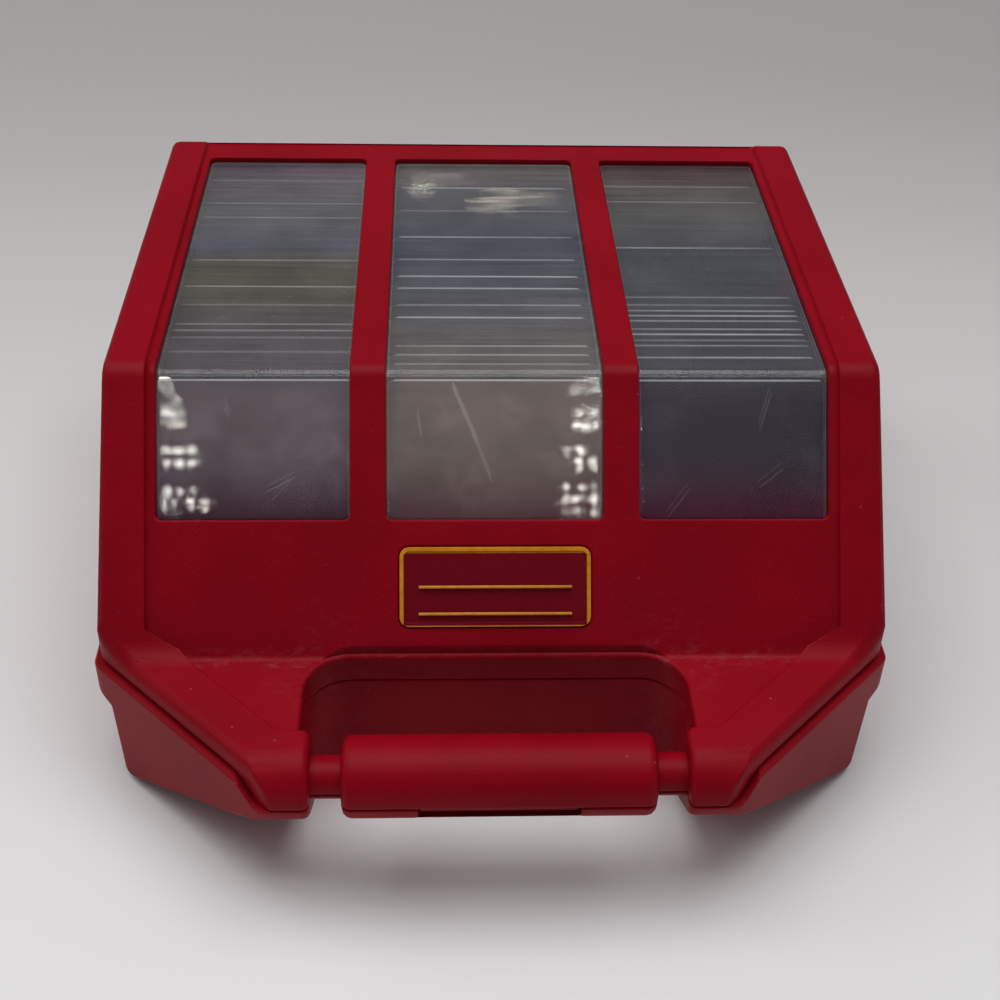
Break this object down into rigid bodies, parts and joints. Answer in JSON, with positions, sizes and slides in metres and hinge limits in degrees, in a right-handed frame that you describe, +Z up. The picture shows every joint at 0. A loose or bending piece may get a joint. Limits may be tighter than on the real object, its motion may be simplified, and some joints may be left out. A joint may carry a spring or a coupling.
{
  "type": "card storage case",
  "caption": "Hinged plastic case with a slanted, windowed lid, a split carrying handle and rows of dividers for cards.",
  "frame": {"origin": "middle of the case in width and depth, on the surface it stands on", "axes": "+Z up, +Y from the handle towards the hinge, +X to the right seen from the handle"},
  "size_m": [0.2528, 0.285, 0.125],
  "materials": {
    "red_shell": "fine moulded texture",
    "dark_red": "fine moulded texture",
    "clear_window": "clear moulded plastic, scratched",
    "badge_ochre": "smooth",
    "insert_grey": "smooth",
    "divider_clear": "clear sheet plastic",
    "card_stock": "stacked card edges",
    "pin_steel": "plain"
  },
  "bodies": {
    "base": {"base_tray": "red_shell", "lane_tray": "insert_grey", "hinge_pin_left": "pin_steel", "hinge_pin_right": "pin_steel"},
    "lid": {"lid_shell": "red_shell", "window_left": "clear_window", "window_centre": "clear_window", "window_right": "clear_window", "badge_plate": "badge_ochre"},
    "latch": {"latch_slide": "dark_red"},
    "divider_left_01": {"divider_left_01": "divider_clear"},
    "divider_left_02": {"divider_left_02": "divider_clear"},
    "divider_left_03": {"divider_left_03": "divider_clear"},
    "divider_left_04": {"divider_left_04": "divider_clear"},
    "divider_left_05": {"divider_left_05": "divider_clear"},
    "divider_left_06": {"divider_left_06": "divider_clear"},
    "divider_left_07": {"divider_left_07": "divider_clear"},
    "divider_left_08": {"divider_left_08": "divider_clear"},
    "divider_left_09": {"divider_left_09": "divider_clear"},
    "divider_left_10": {"divider_left_10": "divider_clear"},
    "divider_left_11": {"divider_left_11": "divider_clear"},
    "cards_left_01": {"cards_left_01": "card_stock"},
    "cards_left_02": {"cards_left_02": "card_stock"},
    "cards_left_03": {"cards_left_03": "card_stock"},
    "divider_centre_01": {"divider_centre_01": "divider_clear"},
    "divider_centre_02": {"divider_centre_02": "divider_clear"},
    "divider_centre_03": {"divider_centre_03": "divider_clear"},
    "divider_centre_04": {"divider_centre_04": "divider_clear"},
    "divider_centre_05": {"divider_centre_05": "divider_clear"},
    "divider_centre_06": {"divider_centre_06": "divider_clear"},
    "divider_centre_07": {"divider_centre_07": "divider_clear"},
    "divider_centre_08": {"divider_centre_08": "divider_clear"},
    "divider_centre_09": {"divider_centre_09": "divider_clear"},
    "divider_centre_10": {"divider_centre_10": "divider_clear"},
    "divider_centre_11": {"divider_centre_11": "divider_clear"},
    "divider_centre_12": {"divider_centre_12": "divider_clear"},
    "cards_centre_01": {"cards_centre_01": "card_stock"},
    "cards_centre_02": {"cards_centre_02": "card_stock"},
    "cards_centre_03": {"cards_centre_03": "card_stock"},
    "divider_right_01": {"divider_right_01": "divider_clear"},
    "divider_right_02": {"divider_right_02": "divider_clear"},
    "divider_right_03": {"divider_right_03": "divider_clear"},
    "divider_right_04": {"divider_right_04": "divider_clear"},
    "divider_right_05": {"divider_right_05": "divider_clear"},
    "divider_right_06": {"divider_right_06": "divider_clear"},
    "divider_right_07": {"divider_right_07": "divider_clear"},
    "divider_right_08": {"divider_right_08": "divider_clear"},
    "divider_right_09": {"divider_right_09": "divider_clear"},
    "divider_right_10": {"divider_right_10": "divider_clear"},
    "divider_right_11": {"divider_right_11": "divider_clear"},
    "divider_right_12": {"divider_right_12": "divider_clear"},
    "divider_right_13": {"divider_right_13": "divider_clear"},
    "divider_right_14": {"divider_right_14": "divider_clear"},
    "cards_right_01": {"cards_right_01": "card_stock"},
    "cards_right_02": {"cards_right_02": "card_stock"}
  },
  "joints": [
    {"name": "lid_hinge", "type": "hinge", "parent": "base", "child": "lid", "pos_m": [0, 0.13805, 0.048], "axis": [-1, 0, 0], "range_deg": [0, 105]},
    {"name": "latch_travel", "type": "slide", "parent": "base", "child": "latch", "axis": [0, -1, 0], "range_m": [0, 0.0024]},
    {"name": "tip_left_01", "type": "hinge", "parent": "base", "child": "divider_left_01", "pos_m": [-0.0744, -0.03776, 0.00553], "axis": [1, 0, 0], "range_deg": [0, 3]},
    {"name": "tip_left_02", "type": "hinge", "parent": "base", "child": "divider_left_02", "pos_m": [-0.0744, -0.02102, 0.00553], "axis": [1, 0, 0], "range_deg": [0, 3]},
    {"name": "tip_left_03", "type": "hinge", "parent": "base", "child": "divider_left_03", "pos_m": [-0.0744, -0.01222, 0.00553], "axis": [1, 0, 0], "range_deg": [0, 3]},
    {"name": "tip_left_04", "type": "hinge", "parent": "base", "child": "divider_left_04", "pos_m": [-0.0744, -0.00782, 0.00553], "axis": [1, 0, 0], "range_deg": [0, 3]},
    {"name": "tip_left_05", "type": "hinge", "parent": "base", "child": "divider_left_05", "pos_m": [-0.0744, -0.0037, 0.00553], "axis": [1, 0, 0], "range_deg": [0, 3]},
    {"name": "tip_left_06", "type": "hinge", "parent": "base", "child": "divider_left_06", "pos_m": [-0.0744, 0.00892, 0.00553], "axis": [1, 0, 0], "range_deg": [0, 3]},
    {"name": "tip_left_07", "type": "hinge", "parent": "base", "child": "divider_left_07", "pos_m": [-0.0744, 0.02155, 0.00553], "axis": [1, 0, 0], "range_deg": [0, 3]},
    {"name": "tip_left_08", "type": "hinge", "parent": "base", "child": "divider_left_08", "pos_m": [-0.0744, 0.04014, 0.00553], "axis": [1, 0, 0], "range_deg": [0, 3]},
    {"name": "tip_left_09", "type": "hinge", "parent": "base", "child": "divider_left_09", "pos_m": [-0.0744, 0.07306, 0.00553], "axis": [1, 0, 0], "range_deg": [0, 3]},
    {"name": "tip_left_10", "type": "hinge", "parent": "base", "child": "divider_left_10", "pos_m": [-0.0744, 0.08456, 0.00553], "axis": [1, 0, 0], "range_deg": [0, 3]},
    {"name": "tip_left_11", "type": "hinge", "parent": "base", "child": "divider_left_11", "pos_m": [-0.0744, 0.10414, 0.00553], "axis": [1, 0, 0], "range_deg": [0, 3]},
    {"name": "tip_cards_left_01", "type": "hinge", "parent": "base", "child": "cards_left_01", "pos_m": [-0.0744, -0.01891, 0.0054], "axis": [1, 0, 0], "range_deg": [0, 3]},
    {"name": "tip_cards_left_02", "type": "hinge", "parent": "base", "child": "cards_left_02", "pos_m": [-0.0744, 0.07517, 0.0054], "axis": [1, 0, 0], "range_deg": [0, 3]},
    {"name": "tip_cards_left_03", "type": "hinge", "parent": "base", "child": "cards_left_03", "pos_m": [-0.0744, 0.10625, 0.0054], "axis": [1, 0, 0], "range_deg": [0, 3]},
    {"name": "tip_centre_01", "type": "hinge", "parent": "base", "child": "divider_centre_01", "pos_m": [0, -0.03776, 0.00553], "axis": [1, 0, 0], "range_deg": [0, 3]},
    {"name": "tip_centre_02", "type": "hinge", "parent": "base", "child": "divider_centre_02", "pos_m": [0, -0.02811, 0.00553], "axis": [1, 0, 0], "range_deg": [0, 3]},
    {"name": "tip_centre_03", "type": "hinge", "parent": "base", "child": "divider_centre_03", "pos_m": [0, -0.02272, 0.00553], "axis": [1, 0, 0], "range_deg": [0, 3]},
    {"name": "tip_centre_04", "type": "hinge", "parent": "base", "child": "divider_centre_04", "pos_m": [0, -0.01719, 0.00553], "axis": [1, 0, 0], "range_deg": [0, 3]},
    {"name": "tip_centre_05", "type": "hinge", "parent": "base", "child": "divider_centre_05", "pos_m": [0, 0.00098, 0.00553], "axis": [1, 0, 0], "range_deg": [0, 3]},
    {"name": "tip_centre_06", "type": "hinge", "parent": "base", "child": "divider_centre_06", "pos_m": [0, 0.00921, 0.00553], "axis": [1, 0, 0], "range_deg": [0, 3]},
    {"name": "tip_centre_07", "type": "hinge", "parent": "base", "child": "divider_centre_07", "pos_m": [0, 0.0207, 0.00553], "axis": [1, 0, 0], "range_deg": [0, 3]},
    {"name": "tip_centre_08", "type": "hinge", "parent": "base", "child": "divider_centre_08", "pos_m": [0, 0.02907, 0.00553], "axis": [1, 0, 0], "range_deg": [0, 3]},
    {"name": "tip_centre_09", "type": "hinge", "parent": "base", "child": "divider_centre_09", "pos_m": [0, 0.04128, 0.00553], "axis": [1, 0, 0], "range_deg": [0, 3]},
    {"name": "tip_centre_10", "type": "hinge", "parent": "base", "child": "divider_centre_10", "pos_m": [0, 0.05831, 0.00553], "axis": [1, 0, 0], "range_deg": [0, 3]},
    {"name": "tip_centre_11", "type": "hinge", "parent": "base", "child": "divider_centre_11", "pos_m": [0, 0.07931, 0.00553], "axis": [1, 0, 0], "range_deg": [0, 3]},
    {"name": "tip_centre_12", "type": "hinge", "parent": "base", "child": "divider_centre_12", "pos_m": [0, 0.09875, 0.00553], "axis": [1, 0, 0], "range_deg": [0, 3]},
    {"name": "tip_cards_centre_01", "type": "hinge", "parent": "base", "child": "cards_centre_01", "pos_m": [0, 0.00308, 0.0054], "axis": [1, 0, 0], "range_deg": [0, 3]},
    {"name": "tip_cards_centre_02", "type": "hinge", "parent": "base", "child": "cards_centre_02", "pos_m": [0, 0.08141, 0.0054], "axis": [1, 0, 0], "range_deg": [0, 3]},
    {"name": "tip_cards_centre_03", "type": "hinge", "parent": "base", "child": "cards_centre_03", "pos_m": [0, 0.10085, 0.0054], "axis": [1, 0, 0], "range_deg": [0, 3]},
    {"name": "tip_right_01", "type": "hinge", "parent": "base", "child": "divider_right_01", "pos_m": [0.0744, -0.03776, 0.00553], "axis": [1, 0, 0], "range_deg": [0, 3]},
    {"name": "tip_right_02", "type": "hinge", "parent": "base", "child": "divider_right_02", "pos_m": [0.0744, -0.024, 0.00553], "axis": [1, 0, 0], "range_deg": [0, 3]},
    {"name": "tip_right_03", "type": "hinge", "parent": "base", "child": "divider_right_03", "pos_m": [0.0744, -0.01676, 0.00553], "axis": [1, 0, 0], "range_deg": [0, 3]},
    {"name": "tip_right_04", "type": "hinge", "parent": "base", "child": "divider_right_04", "pos_m": [0.0744, -0.01321, 0.00553], "axis": [1, 0, 0], "range_deg": [0, 3]},
    {"name": "tip_right_05", "type": "hinge", "parent": "base", "child": "divider_right_05", "pos_m": [0.0744, -0.00952, 0.00553], "axis": [1, 0, 0], "range_deg": [0, 3]},
    {"name": "tip_right_06", "type": "hinge", "parent": "base", "child": "divider_right_06", "pos_m": [0.0744, -0.00626, 0.00553], "axis": [1, 0, 0], "range_deg": [0, 3]},
    {"name": "tip_right_07", "type": "hinge", "parent": "base", "child": "divider_right_07", "pos_m": [0.0744, -0.00087, 0.00553], "axis": [1, 0, 0], "range_deg": [0, 3]},
    {"name": "tip_right_08", "type": "hinge", "parent": "base", "child": "divider_right_08", "pos_m": [0.0744, 0.00254, 0.00553], "axis": [1, 0, 0], "range_deg": [0, 3]},
    {"name": "tip_right_09", "type": "hinge", "parent": "base", "child": "divider_right_09", "pos_m": [0.0744, 0.0058, 0.00553], "axis": [1, 0, 0], "range_deg": [0, 3]},
    {"name": "tip_right_10", "type": "hinge", "parent": "base", "child": "divider_right_10", "pos_m": [0.0744, 0.00963, 0.00553], "axis": [1, 0, 0], "range_deg": [0, 3]},
    {"name": "tip_right_11", "type": "hinge", "parent": "base", "child": "divider_right_11", "pos_m": [0.0744, 0.01503, 0.00553], "axis": [1, 0, 0], "range_deg": [0, 3]},
    {"name": "tip_right_12", "type": "hinge", "parent": "base", "child": "divider_right_12", "pos_m": [0.0744, 0.05078, 0.00553], "axis": [1, 0, 0], "range_deg": [0, 3]},
    {"name": "tip_right_13", "type": "hinge", "parent": "base", "child": "divider_right_13", "pos_m": [0.0744, 0.08768, 0.00553], "axis": [1, 0, 0], "range_deg": [0, 3]},
    {"name": "tip_right_14", "type": "hinge", "parent": "base", "child": "divider_right_14", "pos_m": [0.0744, 0.10102, 0.00553], "axis": [1, 0, 0], "range_deg": [0, 3]},
    {"name": "tip_cards_right_01", "type": "hinge", "parent": "base", "child": "cards_right_01", "pos_m": [0.0744, 0.05289, 0.0054], "axis": [1, 0, 0], "range_deg": [0, 3]},
    {"name": "tip_cards_right_02", "type": "hinge", "parent": "base", "child": "cards_right_02", "pos_m": [0.0744, 0.08979, 0.0054], "axis": [1, 0, 0], "range_deg": [0, 3]}
  ],
  "couplings": [
    {"joint": "tip_left_02", "follows": "tip_left_01", "ratio": 1},
    {"joint": "tip_left_03", "follows": "tip_left_01", "ratio": 1},
    {"joint": "tip_left_04", "follows": "tip_left_01", "ratio": 1},
    {"joint": "tip_left_05", "follows": "tip_left_01", "ratio": 1},
    {"joint": "tip_left_06", "follows": "tip_left_01", "ratio": 1},
    {"joint": "tip_left_07", "follows": "tip_left_01", "ratio": 1},
    {"joint": "tip_left_08", "follows": "tip_left_01", "ratio": 1},
    {"joint": "tip_left_09", "follows": "tip_left_01", "ratio": 1},
    {"joint": "tip_left_10", "follows": "tip_left_01", "ratio": 1},
    {"joint": "tip_left_11", "follows": "tip_left_01", "ratio": 1},
    {"joint": "tip_cards_left_01", "follows": "tip_left_01", "ratio": 1},
    {"joint": "tip_cards_left_02", "follows": "tip_left_01", "ratio": 1},
    {"joint": "tip_cards_left_03", "follows": "tip_left_01", "ratio": 1},
    {"joint": "tip_centre_02", "follows": "tip_centre_01", "ratio": 1},
    {"joint": "tip_centre_03", "follows": "tip_centre_01", "ratio": 1},
    {"joint": "tip_centre_04", "follows": "tip_centre_01", "ratio": 1},
    {"joint": "tip_centre_05", "follows": "tip_centre_01", "ratio": 1},
    {"joint": "tip_centre_06", "follows": "tip_centre_01", "ratio": 1},
    {"joint": "tip_centre_07", "follows": "tip_centre_01", "ratio": 1},
    {"joint": "tip_centre_08", "follows": "tip_centre_01", "ratio": 1},
    {"joint": "tip_centre_09", "follows": "tip_centre_01", "ratio": 1},
    {"joint": "tip_centre_10", "follows": "tip_centre_01", "ratio": 1},
    {"joint": "tip_centre_11", "follows": "tip_centre_01", "ratio": 1},
    {"joint": "tip_centre_12", "follows": "tip_centre_01", "ratio": 1},
    {"joint": "tip_cards_centre_01", "follows": "tip_centre_01", "ratio": 1},
    {"joint": "tip_cards_centre_02", "follows": "tip_centre_01", "ratio": 1},
    {"joint": "tip_cards_centre_03", "follows": "tip_centre_01", "ratio": 1},
    {"joint": "tip_right_02", "follows": "tip_right_01", "ratio": 1},
    {"joint": "tip_right_03", "follows": "tip_right_01", "ratio": 1},
    {"joint": "tip_right_04", "follows": "tip_right_01", "ratio": 1},
    {"joint": "tip_right_05", "follows": "tip_right_01", "ratio": 1},
    {"joint": "tip_right_06", "follows": "tip_right_01", "ratio": 1},
    {"joint": "tip_right_07", "follows": "tip_right_01", "ratio": 1},
    {"joint": "tip_right_08", "follows": "tip_right_01", "ratio": 1},
    {"joint": "tip_right_09", "follows": "tip_right_01", "ratio": 1},
    {"joint": "tip_right_10", "follows": "tip_right_01", "ratio": 1},
    {"joint": "tip_right_11", "follows": "tip_right_01", "ratio": 1},
    {"joint": "tip_right_12", "follows": "tip_right_01", "ratio": 1},
    {"joint": "tip_right_13", "follows": "tip_right_01", "ratio": 1},
    {"joint": "tip_right_14", "follows": "tip_right_01", "ratio": 1},
    {"joint": "tip_cards_right_01", "follows": "tip_right_01", "ratio": 1},
    {"joint": "tip_cards_right_02", "follows": "tip_right_01", "ratio": 1}
  ]
}
